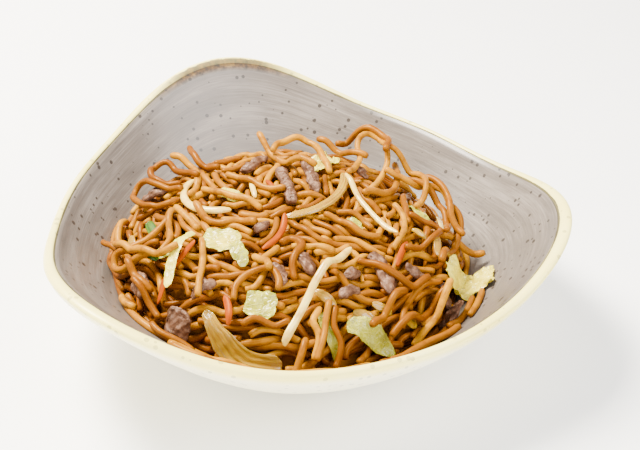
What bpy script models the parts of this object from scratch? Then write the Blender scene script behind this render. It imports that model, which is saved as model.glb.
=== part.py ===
"""Stir-fried egg noodles with beef, bean sprouts, carrot, cabbage and onion, in the three-cornered
stoneware bowl that holds them.

Lengths are in millimetres until a mesh is made, when MM turns them into metres. +Z is up, one corner
of the rim points to +Y, and the origin lies on the foot's plane, under the middle of the bowl's box.
"""

import math
import random

import bmesh
import bpy

MM = 0.001

# The bowl: a turned section, drawn out into three raised corners towards the rim.
RIM_R = 113.0
RIM_BAND = 4.5
RIM_Z = 55.0
TUCK_Z = 50.0
FOOT_R = 50.0
FOOT_RING = 4.5
FOOT_Z = 2.0
FLOOR_R = 44.0
FLOOR_Z = 5.5
WALL_POWER = 2.0
OUTER_POWER = 1.9
WALL_STEPS = 8
SPIN_STEPS = 48
CORNER = 0.073
CORNER_2 = 0.0094
RISE = 9.6
RISE_2 = 2.3
FLARE_POWER = 1.5
OUT_R = RIM_R + RIM_BAND
CENTRE_Y = OUT_R * CORNER

# The heap's core, the mound that the noodles lie on, and its uneven top.
HEAP_R = 80.0
HEAP_TOP = 57.0
HEAP_POWER = 3.4
HEAP_ROUND = 0.6
HEAP_LIP = 2.0
LEAN = 6.0
LEAN_TO = math.radians(-110)
SHOULDER = 4.0
SHOULDER_AT = math.radians(150)
SHOULDER_WIDTH = math.radians(35)
LUMP = 1.2
LUMP_LENGTH = 19.0
CORE_SEGMENTS = 36
CORE_RINGS = 16

# Clearances between touching pieces.
CLEAR = 0.8
OVER = 0.7
SIDE_ROOM = 0.9
BULGE_REACH = 4.0
RAMP = 1.0

# Noodles.
NOODLE_R = 1.7
NOODLE_STEP = 5.0
POINTS_A_STEP = 4
SUNK = 0.8
PRESSED = 0.8
LOOSE_NOODLES = 28
EDGE_NOODLES = 24
EDGE_SHARE = 0.94
EDGE_SPREAD = 25.0
WOBBLE = 75.0
CANDIDATES = 40
LONGEST = 54.0
SHORTEST = 11.0
TOPPING_ROOM = 0.6
FREE_ROOM = 2.6
GOLDEN_ANGLE = math.radians(137.508)
SEED = 11

# x, y, heading in degrees, rise off the heap, then (length, bend in degrees) for each stretch.
LOOPS = (
    (40, 2, 78, 5, ((20, -6), (24, -185), (22, 25))),
    (42, -6, 10, 3, ((10, 40), (16, 90), (10, 10))),
    (2, 26, 100, 4, ((14, -10), (22, -110), (12, 20))),
    (22, 22, 84, 4, ((24, 15),)),
    (-40, 40, 96, 3, ((22, -12),)),
    (-33, 38, 108, 3, ((16, 30),)),
    (-52, 20, 120, 2, ((18, -40), (22, -150), (14, 10))),
    (-58, 36, 150, 2, ((14, 60), (16, 70))),
    (-52, 4, 170, 2, ((20, 14), (12, 40), (8, 5))),
    (56, -6, 30, 2, ((12, -60), (18, -60), (20, -10))),
    (60, -34, -20, 2, ((14, 40), (10, 10))),
)

# x, y, heading, length, bend, width, thickness.
BEEF = (
    (-17, 27, 35, 18, 0, 6.0, 4.0),
    (-1, 22, -88, 28, -15, 5.5, 4.0),
    (10, 18, -80, 20, -20, 5.5, 4.0),
    (-66, 38, -20, 15, -10, 6.0, 4.0),
    (-80, -12, -76, 12, 0, 6.5, 4.0),
    (-72, -41, -70, 13, 20, 7.0, 4.5),
    (-62, -44, -10, 11, 40, 6.5, 4.0),
    (-25, -44, -94, 14, 10, 6.0, 4.0),
    (-12, -41, -86, 12, 15, 7.5, 4.5),
    (3, -57, 8, 8, 10, 5.0, 4.0),
    (19, -47, -60, 24, -60, 7.5, 4.5),
    (6, -66, -168, 10, 10, 6.0, 4.0),
    (32, -58, -20, 11, 10, 5.5, 4.0),
    (47, -65, 10, 8, -10, 5.0, 3.5),
    (45, -74, 25, 11, -10, 6.0, 4.0),
    (35, 12, -54, 7, 0, 5.0, 3.5),
    (-26, -21, 30, 8, 0, 5.0, 3.5),
)
CARROTS = (
    (-74, -34, 62, 26, -55, 3.8, 2.8),
    (-11, -17, -104, 24, -60, 3.8, 2.8),
    (-49, -50, -84, 14, -30, 3.8, 2.8),
    (40, -41, -134, 17, 10, 3.6, 2.8),
    (-9, 16, -84, 12, 0, 3.2, 2.6),
)
SPROUTS = (
    (12, -42, -142, 56, 2, 3.8, 3.4),
    (27, 5, -92, 46, 25, 3.2, 2.8),
    (-40, 32, -150, 46, 150, 4.2, 3.6),
    (-16, 20, -98, 16, 0, 3.2, 2.8),
    (70, -13, -105, 20, 0, 4.6, 2.6),
)
ONIONS = (
    (-58, -51, -84, 41, 72, 6.0, 3.0),
    (1, -73, -28, 13, 0, 7.0, 3.4),
    (11, -70, -28, 9, 0, 5.0, 3.0),
    (22, -77, 5, 9, 10, 4.6, 3.0),
    (-12, -61, -51, 11, 0, 5.0, 3.0),
    (46, -33, -45, 8, 0, 5.0, 3.0),
    (-76, 14, -95, 12, 0, 4.4, 3.0),
    (29, 12, -100, 52, -90, 5.4, 2.4),
    (57, -36, -112, 17, 0, 5.0, 3.0),
)
SPRING_ONIONS = (
    (-67, 15, -90, 14, 5, 5.0, 2.0),
    (-73, -8, -79, 10, 14, 4.2, 2.0),
    (-62, 25, -40, 9, 12, 4.6, 2.0),
)
# x, y, heading, length, width, wave.
LEAVES = (
    (-42, -20, -46, 18, 14, 1.6),
    (-38, -35, -80, 12, 7, 1.2),
    (-67, -12, -30, 10, 8, 1.0),
    (-36, -60, -30, 14, 11, 1.8),
    (22, 24, 35, 22, 13, 2.2),
    (68, -53, -32, 22, 18, 2.8),
    (-28, 11, -56, 14, 8, 1.2),
    (56, -19, -68, 11, 7, 1.0),
    (19, -28, -75, 9, 7, 1.0),
)
# x, y, heading, length, bend, width.
RIBBONS = (
    (-51, -9, -146, 34, 42, 5.0),
    (-13, -70, -76, 15, 6, 5.5),
    (-4, -79, -6, 22, -36, 6.5),
)
LEAF_THICKNESS = 1.3
BAR_STEP = 4.0
BAR_SIDES = 6
BAR_END = 0.6


def three_corners(angle):
    """How much further out than its mean the rim lies at this angle, as a share."""
    turn = angle - math.pi / 2
    return CORNER * math.cos(3 * turn) + CORNER_2 * math.cos(6 * turn)


def rim_rise(angle):
    turn = angle - math.pi / 2
    return RISE * math.cos(3 * turn) + RISE_2 * math.cos(6 * turn)


def flare(r):
    """How far a point of the turned section follows the corners: 0 at the foot, 1 at the rim."""
    return min(max((r - FOOT_R) / (OUT_R - FOOT_R), 0.0), 1.0) ** FLARE_POWER


def drawn_out(r, angle, z):
    share = flare(r)
    reach = r * (1 + share * three_corners(angle))
    return reach * math.cos(angle), reach * math.sin(angle), z + share * rim_rise(angle)


def turned_wall(r):
    return FLOOR_Z + (RIM_Z - FLOOR_Z) * max((r - FLOOR_R) / (RIM_R - FLOOR_R), 0.0) ** WALL_POWER


def wall_height(x, y):
    """Height of the bowl's inner face over a point of the plan."""
    angle = math.atan2(y, x)
    reach = math.hypot(x, y)
    r = reach
    for _ in range(6):
        r = reach / (1 + flare(r) * three_corners(angle))
    return turned_wall(r) + flare(r) * rim_rise(angle)


def heap_reach(angle):
    from_shoulder = (angle - SHOULDER_AT + math.pi) % (2 * math.pi) - math.pi
    shoulder = SHOULDER * math.exp(-((from_shoulder / SHOULDER_WIDTH) ** 2))
    return HEAP_R + LEAN * math.cos(angle - LEAN_TO) + shoulder


def heap_edge_height(angle):
    reach = heap_reach(angle)
    return wall_height(reach * math.cos(angle), reach * math.sin(angle)) + HEAP_LIP


def core_height(x, y):
    angle = math.atan2(y, x)
    edge = heap_edge_height(angle)
    share = min(math.hypot(x, y) / heap_reach(angle), 1.0)
    crown = (1 - share**HEAP_POWER) ** HEAP_ROUND
    lumps = math.sin(x / LUMP_LENGTH + 0.7) * math.cos(y / LUMP_LENGTH - 0.4)
    return edge + (HEAP_TOP - edge + LUMP * lumps) * crown


def ground(x, y):
    """What a topping lies on: the heap's core, or the bowl's wall beyond it."""
    return max(core_height(x, y), wall_height(x, y))


def rest_height(x, y):
    """The ground, raised where it bulges, so that a flat facet between two points clears it."""
    here = ground(x, y)
    reach = max(math.hypot(x, y), 1.0)
    out = 1 + BULGE_REACH / reach
    back = 1 - BULGE_REACH / reach
    bulge = here - (ground(x * out, y * out) + ground(x * back, y * back)) / 2
    return here + max(bulge, 0.0)


def slope_factor(x, y):
    """How much a thickness grows when it is measured straight up instead of square to the ground."""
    reach = 1.5
    across = (ground(x + reach, y) - ground(x - reach, y)) / (2 * reach)
    along = (ground(x, y + reach) - ground(x, y - reach)) / (2 * reach)
    return min(math.sqrt(1 + across**2 + along**2), 1.9)


def finish(name, colour, roughness):
    material = bpy.data.materials.get(name)
    if material:
        return material
    material = bpy.data.materials.new(name)
    material.use_nodes = True
    shader = material.node_tree.nodes["Principled BSDF"]
    shader.inputs["Base Color"].default_value = (*colour, 1.0)
    shader.inputs["Roughness"].default_value = roughness
    shader.inputs["Metallic"].default_value = 0.0
    return material


def face_outwards(bm):
    bmesh.ops.recalc_face_normals(bm, faces=bm.faces)
    if bm.calc_volume(signed=True) < 0:
        bmesh.ops.reverse_faces(bm, faces=bm.faces)


def add_object(name, bm, material, collection):
    """Turns a bmesh in millimetres into an object in metres, in the part's own frame."""
    for vert in bm.verts:
        vert.co.y -= CENTRE_Y
        vert.co *= MM
    face_outwards(bm)
    mesh = bpy.data.meshes.new(name)
    bm.to_mesh(mesh)
    bm.free()
    mesh.materials.append(material)
    mesh.shade_smooth()
    mesh.set_sharp_from_angle(angle=math.radians(50))
    made = bpy.data.objects.new(name, mesh)
    collection.objects.link(made)
    return made


def foot_section():
    ring_in = FOOT_R - FOOT_RING
    return [(0.0, FOOT_Z), (ring_in - 1.0, FOOT_Z), (ring_in, 0.0), (FOOT_R, 0.0), (FOOT_R + 1.5, FOOT_Z)]


def outer_wall_section():
    start = FOOT_R + 1.5
    end = OUT_R - 1.2
    shares = [step / WALL_STEPS for step in range(1, WALL_STEPS + 1)]
    return [(start + (end - start) * s, FOOT_Z + (TUCK_Z - FOOT_Z) * s**OUTER_POWER) for s in shares]


def rim_section():
    """The rolled rim, from the tuck under it over to the inner edge."""
    middle = RIM_R + RIM_BAND / 2
    half = RIM_BAND / 2
    turns = [math.radians(angle) for angle in (-25, 10, 45, 90, 135, 170)]
    return [(middle + half * math.cos(t), RIM_Z - 0.9 + 1.6 * half / 2 * math.sin(t)) for t in turns]


def inner_wall_section():
    shares = [1 - step / WALL_STEPS for step in range(WALL_STEPS + 1)]
    radii = [FLOOR_R + (RIM_R - 0.6 - FLOOR_R) * s for s in shares]
    return [(r, turned_wall(r)) for r in radii] + [(0.0, FLOOR_Z)]


def make_bowl(collection):
    """Stoneware bowl: the section is turned about +Z, then drawn out into its three corners."""
    section = foot_section() + outer_wall_section() + rim_section() + inner_wall_section()
    bm = bmesh.new()
    verts = [bm.verts.new((r, 0.0, z)) for r, z in section]
    edges = [bm.edges.new(pair) for pair in zip(verts, verts[1:])]
    bmesh.ops.spin(
        bm,
        geom=verts + edges,
        cent=(0, 0, 0),
        axis=(0, 0, 1),
        angle=2 * math.pi,
        steps=SPIN_STEPS,
        use_merge=True,
    )
    bmesh.ops.remove_doubles(bm, verts=bm.verts, dist=0.001)
    for vert in bm.verts:
        x, y, z = vert.co
        vert.co = drawn_out(math.hypot(x, y), math.atan2(y, x), z)
    add_object("bowl", bm, finish("stoneware", (0.42, 0.39, 0.37), 0.35), collection)


def make_core(collection):
    """The smaller core of the heap: a ball pressed into the bowl and domed on top."""
    bm = bmesh.new()
    bmesh.ops.create_uvsphere(bm, u_segments=CORE_SEGMENTS, v_segments=CORE_RINGS, radius=1.0)
    for vert in bm.verts:
        angle = math.atan2(vert.co.y, vert.co.x)
        reach = min(math.hypot(vert.co.x, vert.co.y), 1.0) * heap_reach(angle)
        x = reach * math.cos(angle)
        y = reach * math.sin(angle)
        above = vert.co.z > -0.001
        vert.co = (x, y, core_height(x, y) if above else wall_height(x, y) + CLEAR)
    return add_object("noodles", bm, finish("noodle", (0.56, 0.23, 0.045), 0.4), collection)


def pen_path(x, y, heading, stretches, step):
    """Points (x, y, heading in radians) along stretches of even bend, each (length, bend in degrees)."""
    turn = math.radians(heading)
    points = [(x, y, turn)]
    for length, bend in stretches:
        count = max(round(length / step), 2)
        piece = length / count
        each = math.radians(bend) / count
        for _ in range(count):
            turn += each / 2
            x += piece * math.cos(turn)
            y += piece * math.sin(turn)
            turn += each / 2
            points.append((x, y, turn))
    return points


def spots_across(point, width, count):
    """Round spots (x, y, half width) side by side across a path at one of its points."""
    x, y, turn = point
    offsets = [((number + 0.5) / count - 0.5) * width for number in range(count)]
    half = width / (2 * count)
    return [(x - offset * math.sin(turn), y + offset * math.cos(turn), half) for offset in offsets]


class Laid:
    """The pieces laid so far, as round spots: plan place, half width and top above the ground."""

    def __init__(self):
        self.spots = []

    def add(self, points, width, tops, count=1):
        """Notes a piece along its path, with the spots halfway between its points too."""
        rows = [
            [(*spot, top) for spot in spots_across(point, width, count)] for point, top in zip(points, tops)
        ]
        for row, following in zip(rows, rows[1:]):
            between = [tuple((a + b) / 2 for a, b in zip(*pair)) for pair in zip(row, following)]
            self.spots += row + between
        self.spots += rows[-1]

    def top_near(self, x, y, half):
        """The highest top within reach of a spot of this half width, or None."""
        tops = [top for sx, sy, other, top in self.spots if math.hypot(sx - x, sy - y) < half + other]
        return max(tops, default=None)

    def top_across(self, point, width, count):
        """The highest top under a row of spots, with room at their sides, or None."""
        spots = spots_across(point, width, count)
        tops = [self.top_near(x, y, half + SIDE_ROOM) for x, y, half in spots]
        return max((top for top in tops if top is not None), default=None)


def ramped(lifts, step):
    """Eases a list of lifts into slopes, never below what it was given."""
    for _ in range(len(lifts)):
        for here in range(len(lifts)):
            for beside in (here - 1, here + 1):
                if 0 <= beside < len(lifts):
                    lifts[here] = max(lifts[here], lifts[beside] - RAMP * step)
    return lifts


def smoothed(needs, step):
    """A gentle line over the given lifts."""
    lifts = ramped(list(needs), step)
    for _ in range(2):
        ends = [lifts[0]] + lifts + [lifts[-1]]
        means = [(a + 2 * b + c) / 4 for a, b, c in zip(ends, ends[1:], ends[2:])]
        lifts = [max(need, mean) for need, mean in zip(needs, means)]
    return lifts


def lifts_over(points, width, laid, step, count=1):
    """How far a topping is raised along its path, to lie on the toppings that it crosses."""
    tops = [laid.top_across(point, width, count) for point in points]
    return smoothed([0.0 if top is None else top + OVER for top in tops], step)


def make_bar(name, row, material, laid, collection, uneven=0.0):
    """A strip: a six-sided bar, bent along its path and laid on the ground, with narrower ends."""
    x, y, heading, length, bend, width, thickness = row
    points = pen_path(x, y, heading, ((length, bend),), BAR_STEP)
    step = length / (len(points) - 1)
    lifts = lifts_over(points, width, laid, step)
    chance = random.Random(name)
    sizes = [1 + uneven * chance.uniform(-1, 1) for _ in points]
    sizes[0] = sizes[-1] = BAR_END
    bm = bmesh.new()
    bmesh.ops.create_cone(
        bm, cap_ends=True, segments=BAR_SIDES, radius1=1.0, radius2=1.0, depth=len(points) - 1.0
    )
    long_edges = [edge for edge in bm.edges if abs(edge.verts[0].co.z - edge.verts[1].co.z) > 0.5]
    bmesh.ops.subdivide_edges(bm, edges=long_edges, cuts=len(points) - 2, use_grid_fill=True)
    for vert in bm.verts:
        place = round(vert.co.z + (len(points) - 1) / 2)
        px, py, turn = points[place]
        across = vert.co.x * width / 2 * sizes[place]
        up = (vert.co.y + 1) / 2 * thickness * sizes[place]
        vx = px - across * math.sin(turn)
        vy = py + across * math.cos(turn)
        vert.co = (vx, vy, rest_height(vx, vy) + CLEAR + lifts[place] + up)
    laid.add(points, width, [lift + CLEAR + thickness * (1 + uneven) for lift in lifts])
    add_object(name, bm, material, collection)


def make_sheet(name, points, width, wave, material, laid, collection):
    """A thin wavy leaf: a grid along a path, ruffled towards its sides, then given its thickness."""
    step = math.dist(points[0][:2], points[1][:2])
    rows = len(points) - 1
    cells = max(round(width / BAR_STEP), 2)
    lifts = lifts_over(points, width, laid, step, cells)
    chance = random.Random(name)
    phase = chance.uniform(0, 6)
    bm = bmesh.new()
    bmesh.ops.create_grid(bm, x_segments=rows, y_segments=cells, size=1.0)
    bmesh.ops.triangulate(bm, faces=bm.faces)
    for vert in bm.verts:
        along = (vert.co.x + 1) / 2
        side = vert.co.y
        place = round(along * rows)
        px, py, turn = points[place]
        round_end = math.sqrt(1 - 0.55 * abs(2 * along - 1) ** 3)
        across = side * width / 2 * round_end
        ruffle = 0.5 + 0.5 * math.sin(along * rows * 1.9 + phase + 1.3 * side)
        vx = px - across * math.sin(turn)
        vy = py + across * math.cos(turn)
        height = rest_height(vx, vy) + CLEAR + lifts[place] + wave * ruffle * (0.35 + 0.65 * abs(side))
        vert.co = (vx, vy, height)
    raised = bmesh.ops.extrude_face_region(bm, geom=bm.faces[:])["geom"]
    top_verts = [item for item in raised if isinstance(item, bmesh.types.BMVert)]
    bmesh.ops.translate(bm, vec=(0, 0, LEAF_THICKNESS), verts=top_verts)
    laid.add(points, width, [lift + CLEAR + wave + LEAF_THICKNESS for lift in lifts], cells)
    add_object(name, bm, material, collection)


def make_toppings(laid, collection):
    bars = (
        ("onion", ONIONS, finish("cooked_onion", (0.68, 0.42, 0.16), 0.3), 0.0),
        ("carrot", CARROTS, finish("carrot_flesh", (0.83, 0.2, 0.02), 0.4), 0.0),
        ("beef", BEEF, finish("cooked_beef", (0.24, 0.11, 0.085), 0.45), 0.18),
        ("spring_onion", SPRING_ONIONS, finish("spring_onion_green", (0.16, 0.3, 0.02), 0.4), 0.0),
        ("sprout", SPROUTS, finish("bean_sprout", (0.87, 0.74, 0.52), 0.35), 0.0),
    )
    leaf = finish("cabbage_leaf", (0.76, 0.68, 0.32), 0.45)
    for number, (x, y, heading, length, width, wave) in enumerate(LEAVES, 1):
        back = math.radians(heading)
        start_x = x - length / 2 * math.cos(back)
        start_y = y - length / 2 * math.sin(back)
        points = pen_path(start_x, start_y, heading, ((length, 0),), BAR_STEP)
        make_sheet(f"cabbage_{number:02}", points, width, wave, leaf, laid, collection)
    for kind, rows, material, uneven in bars:
        for number, row in enumerate(rows, 1):
            make_bar(f"{kind}_{number:02}", row, material, laid, collection, uneven)
    for number, (x, y, heading, length, bend, width) in enumerate(RIBBONS, len(LEAVES) + 1):
        points = pen_path(x, y, heading, ((length, bend),), BAR_STEP)
        make_sheet(f"cabbage_{number:02}", points, width, 1.0, leaf, laid, collection)


def noodle_heights(points, rise, toppings, noodles):
    """Lifts of a noodle's middle above the ground: part sunk in the core, over all that it crosses."""
    lifts = []
    for place, (x, y, _) in enumerate(points):
        factor = slope_factor(x, y)
        core_gap = core_height(x, y) + NOODLE_R * (1 - SUNK) * factor
        wall_gap = wall_height(x, y) + (NOODLE_R + CLEAR) * factor
        lift = max(core_gap, wall_gap) - rest_height(x, y)
        topping = toppings.top_near(x, y, NOODLE_R + SIDE_ROOM)
        if topping is not None:
            lift = max(lift, topping + (NOODLE_R + OVER) * factor)
        noodle = noodles.top_near(x, y, NOODLE_R * PRESSED)
        if noodle is not None:
            lift = max(lift, noodle + NOODLE_R * PRESSED)
        share = place / (len(points) - 1)
        lifts.append(lift + rise * math.sin(math.pi * share))
    return smoothed(lifts, NOODLE_STEP)


def make_noodle(points, lifts, noodles, collection):
    """One noodle: a six-sided tube on a curve, made a mesh and welded at its caps."""
    curve = bpy.data.curves.new("noodle", "CURVE")
    curve.dimensions = "3D"
    curve.bevel_depth = NOODLE_R * MM
    curve.bevel_resolution = 1
    curve.use_fill_caps = True
    spline = curve.splines.new("POLY")
    spline.points.add(len(points) - 1)
    for spot, (x, y, _), lift in zip(spline.points, points, lifts):
        spot.co = (x * MM, (y - CENTRE_Y) * MM, (rest_height(x, y) + lift) * MM, 1.0)
    drawn = bpy.data.objects.new("noodle", curve)
    bpy.context.scene.collection.objects.link(drawn)
    graph = bpy.context.evaluated_depsgraph_get()
    mesh = bpy.data.meshes.new_from_object(drawn.evaluated_get(graph))
    bpy.data.objects.remove(drawn)
    bm = bmesh.new()
    bm.from_mesh(mesh)
    bmesh.ops.remove_doubles(bm, verts=bm.verts, dist=0.00001)
    face_outwards(bm)
    bm.to_mesh(mesh)
    bm.free()
    collection.objects.link(bpy.data.objects.new("noodle", mesh))
    noodles.add(points, 2 * NOODLE_R * PRESSED, [lift + NOODLE_R * PRESSED for lift in lifts])


def longest_free_stretch(points, toppings):
    """The longest run of points that stays inside the heap and clear of the toppings."""
    best = []
    run = []
    for point in points:
        x, y, _ = point
        inside = math.hypot(x, y) < heap_reach(math.atan2(y, x)) - NOODLE_R
        free = inside and toppings.top_near(x, y, NOODLE_R + TOPPING_ROOM) is None
        run = run + [point] if free else []
        best = max(best, run, key=len)
    return best[::POINTS_A_STEP]


def drawn_candidate(middle_x, middle_y, heading, bend, chance):
    """A noodle of seeded wobble, with its middle at the given place."""
    stretches = [(LONGEST / 3, bend + chance.uniform(-WOBBLE, WOBBLE)) for _ in range(3)]
    points = pen_path(0.0, 0.0, heading, stretches, NOODLE_STEP / POINTS_A_STEP)
    off_x, off_y, _ = points[len(points) // 2]
    return [(x - off_x + middle_x, y - off_y + middle_y, turn) for x, y, turn in points]


def new_ground(points, noodles):
    """How many points of a noodle lie where no earlier noodle does."""
    if len(points) * NOODLE_STEP < SHORTEST:
        return 0
    return sum(noodles.top_near(x, y, FREE_ROOM) is None for x, y, _ in points)


def fill_at(x, y, heading, spread, bend, chance, toppings, noodles, collection):
    """Draws noodles about one place, and makes the one that covers most new ground, if any covers some."""
    drawn = []
    for _ in range(CANDIDATES):
        turned = heading + chance.uniform(-spread, spread)
        drawn.append(longest_free_stretch(drawn_candidate(x, y, turned, bend, chance), toppings))
    points = max(drawn, key=lambda stretch: new_ground(stretch, noodles))
    if new_ground(points, noodles):
        make_noodle(points, noodle_heights(points, 0.0, Laid(), noodles), noodles, collection)


def lay_noodles(toppings, collection):
    """Lays the placed loops, then noodles along the heap's edge, then loose ones on a golden spiral."""
    noodles = Laid()
    for x, y, heading, rise, stretches in LOOPS:
        points = pen_path(x, y, heading, stretches, NOODLE_STEP)
        make_noodle(points, noodle_heights(points, rise, toppings, noodles), noodles, collection)
    chance = random.Random(SEED)
    for number in range(EDGE_NOODLES):
        angle = 2 * math.pi * number / EDGE_NOODLES
        reach = EDGE_SHARE * heap_reach(angle)
        bend = math.degrees(LONGEST / 3 / reach)
        heading = math.degrees(angle) + 90 - 1.5 * bend
        x = reach * math.cos(angle)
        y = reach * math.sin(angle)
        fill_at(x, y, heading, EDGE_SPREAD, bend, chance, toppings, noodles, collection)
    for number in range(LOOSE_NOODLES):
        angle = number * GOLDEN_ANGLE
        reach = heap_reach(angle) * math.sqrt((number + 0.5) / LOOSE_NOODLES) - NOODLE_R
        x = reach * math.cos(angle)
        y = reach * math.sin(angle)
        fill_at(x, y, 0.0, 180.0, 0.0, chance, toppings, noodles, collection)


def keep_largest_shell(mesh):
    """Fills the hollows that fusing sealed, and drops loose scraps."""
    bm = bmesh.new()
    bm.from_mesh(mesh)
    unseen = set(bm.faces)
    shells = []
    while unseen:
        shell = []
        front = [unseen.pop()]
        while front:
            face = front.pop()
            shell.append(face)
            beside = {other for edge in face.edges for other in edge.link_faces} & unseen
            unseen -= beside
            front += beside
        shells.append(shell)
    largest = max(shells, key=len)
    others = [face for shell in shells if shell is not largest for face in shell]
    bmesh.ops.delete(bm, geom=others, context="FACES")
    bm.to_mesh(mesh)
    bm.free()


def fuse_noodles(core, fused):
    """Joins the noodles to the core by one Boolean union, then removes them."""
    union = core.modifiers.new("noodles", "BOOLEAN")
    union.operation = "UNION"
    union.solver = "EXACT"
    union.operand_type = "COLLECTION"
    union.collection = fused
    graph = bpy.context.evaluated_depsgraph_get()
    mesh = bpy.data.meshes.new_from_object(core.evaluated_get(graph))
    core.modifiers.clear()
    keep_largest_shell(mesh)
    core.data = mesh
    for made in list(fused.objects):
        bpy.data.objects.remove(made)
    bpy.data.collections.remove(fused)


def main():
    for old in list(bpy.data.objects):
        bpy.data.objects.remove(old)
    part = bpy.data.collections.new("noodle_bowl")
    fused = bpy.data.collections.new("fused_noodles")
    bpy.context.scene.collection.children.link(part)
    bpy.context.scene.collection.children.link(fused)
    toppings = Laid()
    make_bowl(part)
    core = make_core(part)
    make_toppings(toppings, part)
    lay_noodles(toppings, fused)
    fuse_noodles(core, fused)


main()
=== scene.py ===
"""Stir-fried egg noodles with beef strips and vegetables, heaped in a three-cornered stoneware bowl.

Lengths are in millimetres, measured from the middle of the bowl's foot, until a mesh is made. One corner
of the rim points to +Y.
"""

import math

import bmesh
import bpy
import numpy as np
from mathutils import Matrix, Vector, noise
from mathutils.bvhtree import BVHTree
from mathutils.kdtree import KDTree


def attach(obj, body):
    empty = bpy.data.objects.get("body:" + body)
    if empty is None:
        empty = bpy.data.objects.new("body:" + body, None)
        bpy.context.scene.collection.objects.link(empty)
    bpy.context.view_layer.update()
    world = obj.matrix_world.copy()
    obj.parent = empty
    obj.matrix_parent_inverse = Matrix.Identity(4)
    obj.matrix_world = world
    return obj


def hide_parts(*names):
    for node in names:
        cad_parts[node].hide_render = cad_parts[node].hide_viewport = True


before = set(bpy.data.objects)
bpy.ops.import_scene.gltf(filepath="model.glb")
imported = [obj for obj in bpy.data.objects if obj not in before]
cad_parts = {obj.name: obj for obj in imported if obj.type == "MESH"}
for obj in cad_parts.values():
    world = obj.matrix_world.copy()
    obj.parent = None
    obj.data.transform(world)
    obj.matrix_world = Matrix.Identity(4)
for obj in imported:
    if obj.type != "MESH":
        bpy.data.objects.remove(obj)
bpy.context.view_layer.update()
MM = 0.001

# The camera looks down into the bowl at about 36 degrees, from in front and a little to the left, and
# leans slightly to one side.
CAMERA_AZIMUTH = math.radians(-22.3)
CAMERA_ELEVATION = math.radians(35.78)
CAMERA_ROLL = math.radians(3.47)
CAMERA_DISTANCE = 508.5
CAMERA_TARGET = Vector((4.96, -29.34, 55.0))
CAMERA_LENS = 62.58

camera_data = bpy.data.cameras.new("camera")
camera_data.lens = CAMERA_LENS
camera_data.sensor_width = 36.0
camera_data.clip_start = 0.01
camera = bpy.data.objects.new("camera", camera_data)
bpy.context.scene.collection.objects.link(camera)
towards_camera = Vector(
    (
        math.sin(CAMERA_AZIMUTH) * math.cos(CAMERA_ELEVATION),
        -math.cos(CAMERA_AZIMUTH) * math.cos(CAMERA_ELEVATION),
        math.sin(CAMERA_ELEVATION),
    )
)
level = Vector((math.cos(CAMERA_AZIMUTH), math.sin(CAMERA_AZIMUTH), 0.0))
upright = towards_camera.cross(level)
camera_right = math.cos(CAMERA_ROLL) * level + math.sin(CAMERA_ROLL) * upright
camera_up = math.cos(CAMERA_ROLL) * upright - math.sin(CAMERA_ROLL) * level
turned = Matrix((camera_right, camera_up, towards_camera)).transposed().to_4x4()
camera.matrix_world = Matrix.Translation((CAMERA_TARGET + CAMERA_DISTANCE * towards_camera) * MM) @ turned
bpy.context.scene.camera = camera

# The bowl: wheel-thrown stoneware, pulled out into three raised corners while soft. The inside is brushed
# with a grey speckled glaze, the rolled rim is cream with a brown line where the glazes meet, and the
# outside is a warm white glaze down to the foot ring.
RIM_R = 113.0
RIM_BAND = 4.5
RIM_Z = 55.0
TUCK_Z = 50.0
FOOT_R = 50.0
FOOT_RING = 4.5
FOOT_Z = 2.0
FLOOR_R = 44.0
FLOOR_Z = 5.5
WALL_POWER = 2.0
OUTER_POWER = 1.9
CORNER = 0.073
CORNER_2 = 0.0094
RISE = 9.6
RISE_2 = 2.3
FLARE_POWER = 1.5
OUT_R = RIM_R + RIM_BAND
CENTRE_Y = OUT_R * CORNER
WALL_STEPS = 36
SPIN_STEPS = 192


def three_corners(angle):
    """How much further out than its mean the rim lies at this angle, as a share."""
    turn = angle - math.pi / 2
    return CORNER * np.cos(3 * turn) + CORNER_2 * np.cos(6 * turn)


def rim_rise(angle):
    turn = angle - math.pi / 2
    return RISE * np.cos(3 * turn) + RISE_2 * np.cos(6 * turn)


def flare(r):
    """How far a point of the turned section follows the corners: 0 at the foot, 1 at the rim."""
    return np.clip((r - FOOT_R) / (OUT_R - FOOT_R), 0.0, 1.0) ** FLARE_POWER


def drawn_out(r, angle, z):
    reach = r * (1 + flare(r) * three_corners(angle))
    return reach * np.cos(angle), reach * np.sin(angle), z + flare(r) * rim_rise(angle)


def turned_wall(r):
    return FLOOR_Z + (RIM_Z - FLOOR_Z) * np.maximum((r - FLOOR_R) / (RIM_R - FLOOR_R), 0.0) ** WALL_POWER


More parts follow.
